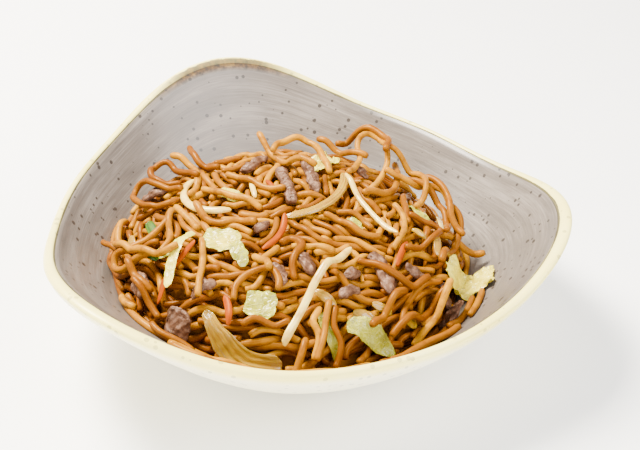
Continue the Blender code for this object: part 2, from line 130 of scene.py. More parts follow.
def bowl_section():
    """The turned section from the underside of the foot, up the outside, over the rim and down inside."""
    ring_in = FOOT_R - FOOT_RING
    foot = [(0.0, FOOT_Z), (ring_in - 1.4, FOOT_Z), (ring_in - 1.0, FOOT_Z - 0.2), (ring_in - 0.1, 0.3)]
    foot += [(ring_in + 0.3, 0.0), (FOOT_R - 0.4, 0.0), (FOOT_R, 0.3), (FOOT_R + 1.2, FOOT_Z - 0.3)]
    start = FOOT_R + 1.5
    end = OUT_R - 1.2
    shares = np.linspace(0, 1, WALL_STEPS + 1)
    outer = [(start + (end - start) * s, FOOT_Z + (TUCK_Z - FOOT_Z) * s**OUTER_POWER) for s in shares]
    middle = RIM_R + RIM_BAND / 2
    half = RIM_BAND / 2
    turns = np.radians(np.linspace(-30, 172, 15))
    rim = [(middle + half * math.cos(t), RIM_Z - 0.9 + 0.8 * half * math.sin(t)) for t in turns]
    inner_r = np.linspace(RIM_R - 0.5, FLOOR_R - 4, WALL_STEPS + 1)
    inner = [(r, float(turned_wall(r))) for r in inner_r]
    floor = [(r, FLOOR_Z) for r in (30.0, 20.0, 10.0, 0.0)]
    return foot + outer + rim + inner + floor, len(foot) + len(outer), len(foot) + len(outer) + len(rim)


def put_in_place(bm):
    """From millimetres about the foot's middle to metres in the part's frame."""
    for vert in bm.verts:
        vert.co.y -= CENTRE_Y
        vert.co *= MM


def add_piece(name, bm, material):
    """A finished piece at the origin, riding on the part's one body."""
    mesh = bpy.data.meshes.new(name)
    bm.to_mesh(mesh)
    bm.free()
    mesh.materials.append(material)
    mesh.shade_smooth()
    piece = bpy.data.objects.new(name, mesh)
    bpy.context.scene.collection.objects.link(piece)
    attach(piece, "root")
    return piece


def new_material(name, **sockets):
    """A material with its Principled shader's own sockets set."""
    material = bpy.data.materials.new(name)
    material.use_nodes = True
    shader = material.node_tree.nodes["Principled BSDF"]
    for label, value in sockets.items():
        shader.inputs[label.replace("_", " ")].default_value = value
    return material, material.node_tree, shader


def node(tree, kind, inputs, **settings):
    """A shader node; each input is a value, or the socket that feeds it."""
    made = tree.nodes.new(kind)
    for label, value in settings.items():
        setattr(made, label, value)
    for label, value in inputs.items():
        if isinstance(value, bpy.types.NodeSocket):
            tree.links.new(value, made.inputs[label])
        else:
            made.inputs[label].default_value = value
    return made


def attribute(tree, name):
    return node(tree, "ShaderNodeAttribute", {}, attribute_name=name)


def object_place(tree):
    """Where a point lies in the part's frame, in metres."""
    return node(tree, "ShaderNodeTexCoord", {}).outputs["Object"]


def place_along(tree):
    """Where a point lies along, across and above its piece's middle line, in millimetres."""
    return attribute(tree, "lie").outputs["Vector"]


def stretched(tree, vector, scale):
    """A vector with each of its parts scaled."""
    return node(tree, "ShaderNodeMapping", {"Vector": vector, "Scale": scale}).outputs["Vector"]


def grain(tree, vector, scale, detail=3.0, roughness=0.55):
    """Soft noise between 0 and 1."""
    inputs = {"Vector": vector, "Scale": scale, "Detail": detail, "Roughness": roughness}
    return node(tree, "ShaderNodeTexNoise", inputs).outputs["Fac"]


def ramp(tree, source, *stops):
    """A colour for each place along a range: stops are (place, (r, g, b)) or (place, grey)."""
    made = node(tree, "ShaderNodeValToRGB", {"Fac": source})
    elements = made.color_ramp.elements
    while len(elements) < len(stops):
        elements.new(0.5)
    for element, (place, colour) in zip(elements, stops):
        element.position = place
        rgb = colour if isinstance(colour, tuple) else (colour,) * 3
        element.color = (*rgb, 1.0)
    return made.outputs["Color"]


def mixed(tree, share, first, second, blend="MIX"):
    inputs = {0: share, 6: first, 7: second}
    for place in (6, 7):
        if isinstance(inputs[place], tuple):
            inputs[place] = (*inputs[place], 1.0)
    return node(tree, "ShaderNodeMix", inputs, data_type="RGBA", blend_type=blend).outputs[2]


def product(tree, first, second, operation="MULTIPLY"):
    return node(tree, "ShaderNodeMath", {0: first, 1: second}, operation=operation).outputs[0]


def bump(tree, shader, height, strength, distance):
    inputs = {"Height": height, "Strength": strength, "Distance": distance}
    tree.links.new(node(tree, "ShaderNodeBump", inputs).outputs["Normal"], shader.inputs["Normal"])


def specks(tree, vector, scale, size, share):
    """A mask of round specks of uneven size: this share of a cell grid's points has one."""
    cells = node(tree, "ShaderNodeTexVoronoi", {"Vector": vector, "Scale": scale})
    chance = node(tree, "ShaderNodeSeparateColor", {"Color": cells.outputs["Color"]})
    reach = product(tree, chance.outputs["Green"], size)
    close = product(tree, cells.outputs["Distance"], reach, "LESS_THAN")
    shown = product(tree, chance.outputs["Red"], share, "LESS_THAN")
    return product(tree, close, shown)


section, rim_start, rim_end = bowl_section()
lengths = np.concatenate([[0.0], np.cumsum([math.dist(a, b) for a, b in zip(section, section[1:])])])
bowl_bm = bmesh.new()
section_verts = [bowl_bm.verts.new((r, 0.0, z)) for r, z in section]
section_edges = [bowl_bm.edges.new(pair) for pair in zip(section_verts, section_verts[1:])]
bmesh.ops.spin(
    bowl_bm,
    geom=section_verts + section_edges,
    cent=(0, 0, 0),
    axis=(0, 0, 1),
    angle=2 * math.pi,
    steps=SPIN_STEPS,
    use_merge=True,
)
bmesh.ops.remove_doubles(bowl_bm, verts=bowl_bm.verts, dist=0.001)
# Each point keeps its direction from the bowl's middle and its place along the section, for the glazes.
turned_layer = bowl_bm.verts.layers.float_vector.new("turned")
zone_layer = bowl_bm.verts.layers.float_vector.new("zone")
section_points = np.array(section)
for vert in bowl_bm.verts:
    r = math.hypot(vert.co.x, vert.co.y)
    angle = math.atan2(vert.co.y, vert.co.x)
    number = int(np.argmin(np.hypot(*(section_points - (r, vert.co.z)).T)))
    vert[turned_layer] = (math.cos(angle), math.sin(angle), lengths[number] / 10)
    on_rim = 1.0 if rim_start <= number < rim_end else 0.0
    past_rim = lengths[number] - lengths[rim_end] + 0.6
    vert[zone_layer] = (on_rim, min(max(past_rim, -10.0), 10.0), 0.0)
    vert.co = drawn_out(r, angle, vert.co.z)
bmesh.ops.recalc_face_normals(bowl_bm, faces=bowl_bm.faces)
put_in_place(bowl_bm)

stoneware, tree, shader = new_material("glazed_stoneware", Coat_Weight=0.12, Coat_Roughness=0.2)
turned_at = attribute(tree, "turned").outputs["Vector"]
zones = node(tree, "ShaderNodeSeparateXYZ", {"Vector": attribute(tree, "zone").outputs["Vector"]})
is_rim = zones.outputs["X"]
past_rim = zones.outputs["Y"]
is_inside = product(tree, past_rim, 0.0, "GREATER_THAN")
place = object_place(tree)
broad_strokes = grain(tree, stretched(tree, turned_at, (1.8, 1.8, 0.9)), 1.0, 5.0, 0.6)
fine_strokes = grain(tree, stretched(tree, turned_at, (3.0, 3.0, 11.0)), 1.0, 6.0, 0.75)
strokes = mixed(tree, 0.5, broad_strokes, fine_strokes)
dark_grey = (0.09, 0.072, 0.058)
mid_grey = (0.135, 0.109, 0.088)
pale_grey = (0.255, 0.216, 0.18)
grey_glaze = ramp(tree, strokes, (0.38, dark_grey), (0.5, mid_grey), (0.66, pale_grey))
cloudy = grain(tree, place, 28.0, 4.0)
outer_glaze = ramp(tree, cloudy, (0.3, (0.9, 0.82, 0.5)), (0.7, (0.96, 0.91, 0.66)))
cream = ramp(tree, cloudy, (0.3, (0.9, 0.77, 0.18)), (0.7, (0.96, 0.87, 0.3)))
glaze = mixed(tree, is_inside, outer_glaze, grey_glaze)
glaze = mixed(tree, is_rim, glaze, cream)
wavering = product(tree, product(tree, grain(tree, place, 60.0, 3.0), 0.9), 0.1, "ADD")
is_line = product(tree, product(tree, past_rim, 1.0, "ABSOLUTE"), wavering, "LESS_THAN")
line_brown = (0.02, 0.012, 0.004)
glaze = mixed(tree, product(tree, is_line, 0.9), glaze, line_brown)
# At the back corner the glaze breaks to a mottled band of iron brown along the rim's inner edge.
direction = node(tree, "ShaderNodeSeparateXYZ", {"Vector": turned_at})
at_back = ramp(tree, direction.outputs["Y"], (0.93, 0.0), (0.985, 1.0))
mottle = grain(tree, place, 330.0, 4.0, 0.7)
across = product(tree, product(tree, past_rim, 0.1), product(tree, mottle, 0.3), "ADD")
across = product(tree, across, 0.35, "ADD")
iron_edge = ramp(tree, across, (0.14, 0.0), (0.22, 0.92), (0.6, 0.92), (0.8, 0.0))
burnt = (0.01, 0.004, 0.0)
rust = (0.055, 0.022, 0.001)
amber = (0.14, 0.072, 0.003)
iron_brown = ramp(tree, mottle, (0.38, burnt), (0.5, rust), (0.66, amber))
iron_share = product(tree, at_back, iron_edge)
glaze = mixed(tree, iron_share, glaze, iron_brown)
large_specks = specks(tree, place, 110.0, 0.19, 0.45)
small_specks = specks(tree, place, 240.0, 0.28, 0.95)
speckled = product(tree, large_specks, small_specks, "MAXIMUM")
speck_share = product(tree, speckled, ramp(tree, is_inside, (0.0, 0.35), (1.0, 0.9)))
speck_brown = (0.025, 0.016, 0.01)
glaze = mixed(tree, speck_share, glaze, speck_brown)
tree.links.new(glaze, shader.inputs["Base Color"])
roughness = ramp(tree, fine_strokes, (0.3, 0.3), (0.7, 0.46))
roughness = mixed(tree, iron_share, roughness, (0.8, 0.8, 0.8))
tree.links.new(roughness, shader.inputs["Roughness"])
bump(tree, shader, strokes, 0.25, 0.0006)
bowl = add_piece("stoneware_bowl", bowl_bm, stoneware)
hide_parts("bowl")

# The strips and leaves on the heap: each solid of the part, made smooth and finely uneven where it lies.
# They are cut by knife, fried soft and shiny, and only rest on the noodles.
SMOOTH_LEVELS = 3


def cleaned(node_name):
    """A node's form with its loose triangles merged, in millimetres about the foot's middle."""
    bm = bmesh.new()
    bm.from_mesh(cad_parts[node_name].data)
    bmesh.ops.remove_doubles(bm, verts=bm.verts, dist=0.000001)
    bmesh.ops.join_triangles(bm, faces=bm.faces, angle_face_threshold=0.7, angle_shape_threshold=0.7)
    for vert in bm.verts:
        vert.co /= MM
        vert.co.y += CENTRE_Y
    return bm


def follow_length(bm):
    """Gives each point its place along, across and above the piece's own middle line, in millimetres."""
    points = np.array([vert.co for vert in bm.verts])
    joined = np.zeros((len(points), len(points)))
    for edge in bm.edges:
        first, second = edge.verts
        joined[first.index, second.index] = joined[second.index, first.index] = 1.0
    spread = np.diag(joined.sum(0)) - joined
    slowest = np.linalg.eigh(spread)[1][:, 1]
    share = np.arccos(np.clip(slowest / np.abs(slowest).max(), -1, 1)) / math.pi
    weights = np.exp(-(((share[:, None] - share[None, :]) / 0.08) ** 2))
    middles = weights @ points / weights.sum(1)[:, None]
    order = np.argsort(share)
    steps = np.linalg.norm(np.diff(middles[order], axis=0), axis=1)
    length = steps.sum() * 0.8
    layer = bm.verts.layers.float_vector.new("lie")
    for vert in bm.verts:
        near = np.abs(share - share[vert.index])
        ahead = middles[np.argmin(np.abs(share - share[vert.index] - 0.1))]
        behind = middles[np.argmin(np.abs(share - share[vert.index] + 0.1))]
        heading = Vector(ahead - behind)
        heading.z = 0.0
        heading = heading.normalized() if heading.length > 0.01 else Vector((1, 0, 0))
        off = vert.co - Vector(middles[near.argmin()])
        side = heading.cross(Vector((0, 0, 1)))
        vert[layer] = (share[vert.index] * length, off.dot(side), off.z)


def smoothed_form(node_name):
    """The node's form after Subdivision Surface, as a bmesh with its place along the piece."""
    bm = cleaned(node_name)
    bm.verts.index_update()
    follow_length(bm)
    mesh = bpy.data.meshes.new("cage")
    bm.to_mesh(mesh)
    bm.free()
    cage = bpy.data.objects.new("cage", mesh)
    bpy.context.scene.collection.objects.link(cage)
    smoother = cage.modifiers.new("smooth", "SUBSURF")
    smoother.levels = smoother.render_levels = SMOOTH_LEVELS
    fine = bmesh.new()
    fine.from_object(cage, bpy.context.evaluated_depsgraph_get())
    bpy.data.objects.remove(cage)
    bpy.data.meshes.remove(mesh)
    fine.normal_update()
    return fine


def ridged(point):
    return 1.0 - 2.0 * abs(noise.noise(point))


def hash_of(name):
    """A fixed number between 0 and 1 for a name."""
    golden = 0.6180339887
    return sum((place + 3) * ord(letter) for place, letter in enumerate(name)) * golden % 1.0


pieces_laid = []


def dress(kind, name, material, shape, tone=0.5):
    """One topping: its smooth form moved point by point by its kind's shape, in place of its node."""
    bm = smoothed_form(name)
    lie = bm.verts.layers.float_vector["lie"]
    tone_layer = bm.verts.layers.float.new("tone")
    start = Vector((hash_of(name) * 90, 7.0, 3.0))
    moves = [shape(vert.co, vert.normal, vert[lie], start) for vert in bm.verts]
    for vert, move in zip(bm.verts, moves):
        vert.co += move
        vert[tone_layer] = tone
    pieces_laid.append((BVHTree.FromBMesh(bm), [tuple(vert.co) for vert in bm.verts]))
    put_in_place(bm)
    piece = add_piece(f"{kind}_{name[-2:]}", bm, material)
    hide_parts(name)


def nodes_of(kind):
    """The numbered nodes of one kind of topping, in order."""
    return sorted(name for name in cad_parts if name.startswith((kind + "_0", kind + "_1")))


# Beef: thin strips cut along the fibres, browned and curled in the wok, dull purple-brown with a
# moist shine, lumpy and split between their fibres.
def beef_shape(point, normal, lie, start):
    lumps = 1.0 * noise.noise(point / 3.4 + start) + 0.5 * noise.noise(point / 1.5 + start)
    fibres = 0.3 * ridged(Vector((lie[0] / 4, lie[1] / 0.9, lie[2] / 0.9)) + start)
    return normal * (lumps + fibres + 0.25)


beef, tree, shader = new_material("browned_beef", Specular_IOR_Level=0.5, Subsurface_Weight=0.05)
shader.inputs["Subsurface Radius"].default_value = (0.002, 0.0008, 0.0005)
shader.inputs["Specular Tint"].default_value = (1.0, 0.72, 0.55, 1.0)
place = object_place(tree)
along = place_along(tree)
blotches = grain(tree, place, 260.0, 5.0, 0.65)
fibres = grain(tree, stretched(tree, along, (0.35, 2.4, 2.4)), 1.0, 4.0, 0.7)
seared = (0.036, 0.013, 0.005)
browned = (0.105, 0.043, 0.02)
pale_meat = (0.23, 0.118, 0.065)
meat = ramp(tree, blotches, (0.32, seared), (0.5, browned), (0.7, pale_meat))
meat = mixed(tree, 0.45, meat, ramp(tree, fibres, (0.35, 0.35), (0.65, 1.0)), "MULTIPLY")
tree.links.new(meat, shader.inputs["Base Color"])
tree.links.new(ramp(tree, blotches, (0.3, 0.3), (0.7, 0.55)), shader.inputs["Roughness"])
bump(tree, shader, fibres, 0.5, 0.0006)
for name in nodes_of("beef"):
    dress("beef_strip", name, beef, beef_shape)


# Carrot: julienne sticks, bright orange, softened and slightly bent, with faint lengthwise grain. They
# lie over and between the noodles.
def carrot_shape(point, normal, lie, start):
    lumps = 0.16 * noise.noise(point / 3 + start)
    fibres = 0.06 * noise.noise(Vector((lie[0] / 6, lie[1] * 1.4, lie[2] * 1.4)))
    return normal * (lumps + fibres)


carrot, tree, shader = new_material("carrot_stick", Specular_IOR_Level=0.15, Subsurface_Weight=0.1)
shader.inputs["Subsurface Radius"].default_value = (0.003, 0.001, 0.0002)
shader.inputs["Specular Tint"].default_value = (1.0, 0.5, 0.1, 1.0)
place = object_place(tree)
along = place_along(tree)
lengthwise = grain(tree, stretched(tree, along, (0.15, 1.6, 1.6)), 1.0, 4.0)
root = ramp(tree, lengthwise, (0.3, (0.19, 0.028, 0.0)), (0.7, (0.3, 0.05, 0.0)))
tree.links.new(root, shader.inputs["Base Color"])
tree.links.new(ramp(tree, lengthwise, (0.3, 0.3), (0.7, 0.45)), shader.inputs["Roughness"])
bump(tree, shader, lengthwise, 0.3, 0.0003)
for name in nodes_of("carrot"):
    dress("carrot_stick", name, carrot, carrot_shape)


# Bean sprouts: crisp cream-white shoots, glassy and round, a little uneven and stained with soy in
# places. They lie loose on top.
def sprout_shape(point, normal, lie, start):
    swells = 0.22 * noise.noise(Vector((lie[0] / 7, 0, 0)) + start)
    return normal * (swells + 0.08 * noise.noise(point / 2 + start))


sprout, tree, shader = new_material(
    "bean_sprout", Coat_Weight=0.25, Coat_Roughness=0.15, Subsurface_Weight=0.25
)
shader.inputs["Subsurface Radius"].default_value = (0.005, 0.003, 0.0015)
place = object_place(tree)
along = place_along(tree)
stain = grain(tree, place, 140.0, 4.0)
shoot = ramp(tree, stain, (0.3, (0.5, 0.28, 0.03)), (0.5, (0.74, 0.49, 0.08)), (0.7, (0.88, 0.66, 0.16)))
tree.links.new(shoot, shader.inputs["Base Color"])
tree.links.new(ramp(tree, stain, (0.3, 0.22), (0.7, 0.34)), shader.inputs["Roughness"])
bump(tree, shader, grain(tree, stretched(tree, along, (0.2, 1.5, 1.5)), 1.0), 0.2, 0.0003)
for name in nodes_of("sprout"):
    dress("bean_sprout", name, sprout, sprout_shape)


# Onion: slices of the layered bulb, fried limp and see-through tan, ridged along their veins. Each
# slice keeps some of the bulb's curve where it lies.
def onion_shape(point, normal, lie, start):
    ridges = 0.16 * math.sin(lie[1] * 4.6 + 1.5 * noise.noise(Vector((lie[0] / 9, 0, 0)) + start))
    return normal * (ridges + 0.25 * noise.noise(point / 4 + start))


onion, tree, shader = new_material(
    "fried_onion", Coat_Weight=0.3, Coat_Roughness=0.1, Subsurface_Weight=0.45
)
shader.inputs["Subsurface Radius"].default_value = (0.005, 0.0025, 0.0008)
place = object_place(tree)
along = place_along(tree)
veins = grain(tree, stretched(tree, along, (0.08, 1.5, 0.6)), 1.0, 3.0)
tint = grain(tree, place, 90.0, 3.0)
fried = (0.25, 0.12, 0.002)
soft_tan = (0.33, 0.18, 0.003)
pale_tan = (0.46, 0.28, 0.015)
flesh = ramp(tree, veins, (0.25, fried), (0.5, soft_tan), (0.8, pale_tan))
flesh = mixed(tree, ramp(tree, tint, (0.4, 0.0), (0.7, 0.5)), flesh, (0.22, 0.085, 0.001))
tree.links.new(flesh, shader.inputs["Base Color"])
tree.links.new(ramp(tree, tint, (0.3, 0.18), (0.7, 0.32)), shader.inputs["Roughness"])
bump(tree, shader, veins, 0.3, 0.0004)
for name in nodes_of("onion"):
    dress("onion_slice", name, onion, onion_shape)


# Spring onion: bright green lengths of the hollow leaf, pressed flat, with fine parallel veins and a
# crease along the middle where the two walls have closed.
def spring_onion_shape(point, normal, lie, start):
    fold = -0.5 * math.exp(-((lie[1] / 0.9) ** 2)) if normal.z > 0 else 0.0
    return normal * (0.15 * noise.noise(point / 3 + start)) + Vector((0, 0, fold))


green, tree, shader = new_material(
    "spring_onion_leaf", Coat_Weight=0.15, Coat_Roughness=0.15, Subsurface_Weight=0.1
)
shader.inputs["Subsurface Radius"].default_value = (0.001, 0.003, 0.0005)
along = place_along(tree)
veins = grain(tree, stretched(tree, along, (0.05, 2.2, 1.0)), 1.0, 3.0)
deep_green = (0.012, 0.036, 0.0)
leek_green = (0.05, 0.11, 0.0)
pale_green = (0.2, 0.24, 0.0)
blade = ramp(tree, veins, (0.3, deep_green), (0.6, leek_green), (0.8, pale_green))
tree.links.new(blade, shader.inputs["Base Color"])
tree.links.new(ramp(tree, veins, (0.3, 0.25), (0.7, 0.4)), shader.inputs["Roughness"])
bump(tree, shader, veins, 0.4, 0.0003)
for name in nodes_of("spring_onion"):
    dress("spring_onion_leaf", name, green, spring_onion_shape)


# Cabbage: torn leaves, limp and thin, cream at the ribs and yellow-green at the frills, crinkled in
# between their veins. The ribbons are shreds of the same leaf. CRINKLE is how far a leaf's surface
# folds, in millimetres, and LEAF_GREEN is how much of it is leafy and not rib.
USUAL_CRINKLE = 1.1
CRINKLE = {"cabbage_05": 2.0, "cabbage_06": 2.6, "cabbage_10": 0.5, "cabbage_11": 0.6, "cabbage_12": 0.8}
LEAF_GREEN = {
    "cabbage_01": 0.45,
    "cabbage_02": 0.55,
    "cabbage_03": 0.5,
    "cabbage_04": 0.65,
    "cabbage_05": 0.15,
    "cabbage_06": 0.05,
    "cabbage_07": 0.3,
    "cabbage_08": 0.6,
    "cabbage_09": 0.7,
    "cabbage_10": 0.25,
    "cabbage_11": 0.35,
    "cabbage_12": 0.6,
}
# The sideways folds come from a seeded noise, so that they are the same in every run.
noise.seed_set(3)


def leaf_shape_of(crinkle):
    def leaf_shape(point, normal, lie, start):
        plan = Vector((point.x, point.y, 0.0))
        folds = crinkle * (1.1 * noise.noise(plan / 4.5 + start) + 0.45 * ridged(plan / 2.2 + start) - 0.2)
        edge = 0.5 * crinkle * noise.noise(plan / 1.7 + start) * min(abs(lie[1]) / 4, 1.0)
        thin = -0.3 * normal.z if normal.z > 0 else 0.0
        sideways = crinkle * noise.noise_vector(plan / 2.8 + start) * 0.7
        return Vector((sideways.x, sideways.y, folds + edge + thin))

    return leaf_shape


cabbage, tree, shader = new_material(
    "cabbage_leaf", Coat_Weight=0.2, Coat_Roughness=0.15, Subsurface_Weight=0.2
)
shader.inputs["Subsurface Radius"].default_value = (0.003, 0.0035, 0.001)
place = object_place(tree)
along = place_along(tree)
greenness = attribute(tree, "tone").outputs["Fac"]
along_leaf = stretched(tree, along, (0.22, 0.4, 0.4))
about_leaf = stretched(tree, place, (60, 60, 60))
warped = node(tree, "ShaderNodeVectorMath", {0: along_leaf, 1: about_leaf}, operation="ADD")
net_inputs = {"Vector": warped.outputs[0], "Scale": 1.6}
cells = node(tree, "ShaderNodeTexVoronoi", net_inputs, feature="DISTANCE_TO_EDGE")
net = ramp(tree, cells.outputs["Distance"], (0.0, 1.0), (0.16, 0.0))
wet = grain(tree, place, 120.0, 4.0)
pale = ramp(tree, wet, (0.35, (0.48, 0.36, 0.002)), (0.65, (0.84, 0.72, 0.06)))
leafy = ramp(tree, wet, (0.35, (0.22, 0.2, 0.0)), (0.65, (0.4, 0.39, 0.004)))
patchy = product(tree, greenness, grain(tree, place, 75.0, 2.0), "ADD")
share = ramp(tree, patchy, (0.72, 0.0), (1.15, 1.0))
leaf_colour = mixed(tree, share, pale, leafy)
leaf_colour = mixed(tree, product(tree, net, 0.22), leaf_colour, (0.8, 0.7, 0.12))
tree.links.new(leaf_colour, shader.inputs["Base Color"])
tree.links.new(ramp(tree, wet, (0.3, 0.25), (0.7, 0.42)), shader.inputs["Roughness"])
bump(tree, shader, net, 0.5, 0.0004)
for name in nodes_of("cabbage"):
    shape = leaf_shape_of(CRINKLE.get(name, USUAL_CRINKLE))
    dress("cabbage_piece", name, cabbage, shape, LEAF_GREEN[name])

# The noodles: round egg noodles about 3.2 mm thick, boiled and then fried in soy and oil, laid one over
# another. Each is a tube along a wandering path, lowered onto what already lies beneath it. The heap is
# a dome that leans to the front and has a shoulder at the back left. CELL is its height map's step.
HEAP_R = 80.0
HEAP_TOP = 57.0
HEAP_POWER = 3.4
HEAP_ROUND = 0.6
HEAP_LIP = 2.0
LEAN = 6.0
LEAN_TO = math.radians(-110)
SHOULDER = 4.0
SHOULDER_AT = math.radians(150)
SHOULDER_WIDTH = math.radians(35)
LUMP = 1.2
LUMP_LENGTH = 19.0
DEPTH = 7.5
NOODLE_R = 1.6
STEP = 1.4
CELL = 0.7
GRID_HALF = 98.0
PRESSED = 0.6
BRIDGE = 5.0
SHORTEST = 10
STEEPEST = 3.0
EDGE_THICKNESS = 5.0
EDGE_RINGS = (1.04, 0.99, 0.94)
FRONT_RINGS = (1.09, 1.13)
SIDES = 5
OFF_WALL = 0.4
CORE_EDGE = 1.8
# Places across a noodle where what lies beneath it is felt.
ACROSS = (-1.3, -0.7, 0.0, 0.7, 1.3)
# No noodle's middle stands higher than this, so that the heap keeps within the part's height.
HIGHEST = 67.6


def wall_height(x, y):
    """Height of the bowl's inner face over a point of the plan."""
    angle = np.arctan2(y, x)
    reach = np.hypot(x, y)
    r = reach
    for _ in range(6):
        r = reach / (1 + flare(r) * three_corners(angle))
    return turned_wall(r) + flare(r) * rim_rise(angle)


def heap_reach(angle):
    from_shoulder = (angle - SHOULDER_AT + math.pi) % (2 * math.pi) - math.pi
    shoulder = SHOULDER * np.exp(-((from_shoulder / SHOULDER_WIDTH) ** 2))
    return HEAP_R + LEAN * np.cos(angle - LEAN_TO) + shoulder


def mound_height(x, y):
    """The heap's mean surface, domed over the bowl's wall."""
    angle = np.arctan2(y, x)
    reach = heap_reach(angle)
    edge = wall_height(reach * np.cos(angle), reach * np.sin(angle)) + HEAP_LIP
    share = np.minimum(np.hypot(x, y) / reach, 1.0)
    crown = (1 - share**HEAP_POWER) ** HEAP_ROUND
    lumps = np.sin(x / LUMP_LENGTH + 0.7) * np.cos(y / LUMP_LENGTH - 0.4)
    return edge + (HEAP_TOP - edge + LUMP * lumps) * crown


def steepness(x, y):
    """How much longer a distance square to the mound grows when it is measured straight up."""
    across = (mound_height(x + 1.0, y) - mound_height(x - 1.0, y)) / 2
    along = (mound_height(x, y + 1.0) - mound_height(x, y - 1.0)) / 2
    return np.minimum(np.sqrt(1 + across**2 + along**2), STEEPEST)


def bed_height(x, y):
    """What the lowest noodles lie on: the heap's dark middle, or the wall where that comes higher."""
    return np.maximum(mound_height(x, y) - DEPTH * steepness(x, y), wall_height(x, y) + OFF_WALL)


axis = np.arange(-GRID_HALF, GRID_HALF + CELL, CELL)
grid_x, grid_y = np.meshgrid(axis, axis, indexing="ij")
mound = mound_height(grid_x, grid_y)
steep = steepness(grid_x, grid_y)
top = bed_height(grid_x, grid_y)
inside_share = np.hypot(grid_x, grid_y) / heap_reach(np.arctan2(grid_y, grid_x))
ceiling = np.full_like(top, 1000.0)
cover = np.full_like(top, -1000.0)
for tree_of_piece, corners in pieces_laid:
    low = np.min(corners, axis=0)
    high = np.max(corners, axis=0)
    first = np.maximum(((low[:2] + GRID_HALF) / CELL).astype(int), 0)
    last = np.minimum(((high[:2] + GRID_HALF) / CELL).astype(int) + 1, len(axis) - 1)
    for i in range(first[0], last[0] + 1):
        for j in range(first[1], last[1] + 1):
            spot = Vector((axis[i], axis[j], 0.0))
            from_below = tree_of_piece.ray_cast(spot, Vector((0, 0, 1)))[0]
            if from_below is None:
                continue
            ceiling[i, j] = min(ceiling[i, j], from_below.z)
            from_above = tree_of_piece.ray_cast(spot + Vector((0, 0, 200)), Vector((0, 0, -1)))[0]
            cover[i, j] = max(cover[i, j], from_above.z)


def cell_of(x, y):
    i = np.clip(np.rint((x + GRID_HALF) / CELL).astype(int), 0, len(axis) - 1)
    j = np.clip(np.rint((y + GRID_HALF) / CELL).astype(int), 0, len(axis) - 1)
    return i, j


def resting(x, y, turn):
    """Height of a noodle's middle where it lies on what is beneath it."""
    heights = []
    for off in ACROSS:
        spot = cell_of(x - off * np.sin(turn), y + off * np.cos(turn))
        heights.append(top[spot] + math.sqrt(NOODLE_R**2 - off**2))
    return np.max(heights, axis=0) - PRESSED


def bridged(heights):
    """A noodle hangs from one support to the next in a soft curve."""
    s = np.arange(len(heights)) * STEP
    apart = s[:, None] - s[None, :]
    hung = (heights[None, :] - apart**2 / (2 * BRIDGE)).max(1)
    weights = np.exp(-((apart / 2.4) ** 2))
    soft = (weights @ hung) / weights.sum(1)
    return np.maximum(soft, heights - 0.25)


def stamp(x, y, z):
    """Adds a laid noodle to the heap's top."""
    reach = int(NOODLE_R / CELL) + 1
    i, j = cell_of(x, y)
    for di in range(-reach, reach + 1):
        for dj in range(-reach, reach + 1):
            a = np.clip(i + di, 0, len(axis) - 1)
            b = np.clip(j + dj, 0, len(axis) - 1)
            off = (axis[a] - x) ** 2 + (axis[b] - y) ** 2
            near = off < NOODLE_R**2
            np.maximum.at(top, (a[near], b[near]), z[near] + np.sqrt(NOODLE_R**2 - off[near]))


chance = np.random.default_rng(7)


def wander(x, y, heading, length, turning):
    """A smooth wandering path on the plan whose middle is at (x, y)."""
    s = np.arange(-length / 2, length / 2, STEP)
    bend = turning + chance.uniform(-0.018, 0.018) + np.zeros_like(s)
    for low, high, most in ((45, 100, 0.06), (18, 40, 0.085)):
        wave = 2 * math.pi / chance.uniform(low, high)
        bend += chance.uniform(0.2, 1.0) * most * np.sin(wave * s + chance.uniform(0, 6.28))
    if chance.random() < 0.45:
        tight = chance.choice((-1, 1)) * chance.uniform(0.08, 0.17)
        bend += tight * np.exp(-(((s - chance.uniform(-0.4, 0.4) * length) / 6.0) ** 2))
    turn = np.cumsum(bend) * STEP
    turn += heading - turn[len(s) // 2]
    px = np.cumsum(np.cos(turn)) * STEP
    py = np.cumsum(np.sin(turn)) * STEP
    return px - px[len(s) // 2] + x, py - py[len(s) // 2] + y, turn


def best_run(gains):
    """The sum, first place and end of the stretch whose gains add up to most."""
    best = (0.0, 0, 0)
    total = 0.0
    start = 0
    for number, gain in enumerate(gains):
        if total <= 0.0:
            total = 0.0
            start = number
        total += gain
        best = max(best, (total, start, number + 1))
    return best


laid = []


def lay(x, y, turn):
    """Lays one noodle on what is beneath it, and notes it."""
    z = np.minimum(bridged(resting(x, y, turn)), HIGHEST)
    stamp(x, y, z)
    laid.append(np.column_stack((x, y, z)))


def best_noodle(goal, x, y, over_toppings, tries, margin):
    """Of several wandering paths about a place, the stretch that fills most of what still lacks."""
    best = None
    for _ in range(tries):
        along_edge = math.atan2(y, x) + math.pi / 2 + chance.uniform(-0.5, 0.5)
        near_edge = math.hypot(x, y) > 0.7 * HEAP_R and chance.random() < 0.6
        heading = along_edge if near_edge else chance.uniform(0, 6.28)
        px, py, turn = wander(x, y, heading, chance.uniform(70, 150), 0.012 if near_edge else 0.0)
        spot = cell_of(px, py)
        z = bridged(resting(px, py, turn))
        lack = (goal[spot] - z) / steep[spot] - 0.7
        gains = np.minimum(lack, 2.0) - 1.5 * np.maximum(-lack - 1.0, 0.0)
        gains = np.where(inside_share[spot] < 1.0 + margin / HEAP_R, gains, -1000.0)
        if over_toppings:
            gains -= 4.0 * (cover[spot] > 0)
        else:
            gains = np.where(z + NOODLE_R < ceiling[spot], gains, -1000.0)
        total, first, last = best_run(gains)
        if last - first < SHORTEST or (best is not None and total < best[0]):
            continue
        best = (total, px[first:last], py[first:last], turn[first:last])
    return best


BLOCK = 6
BLOCKS = len(axis) // BLOCK


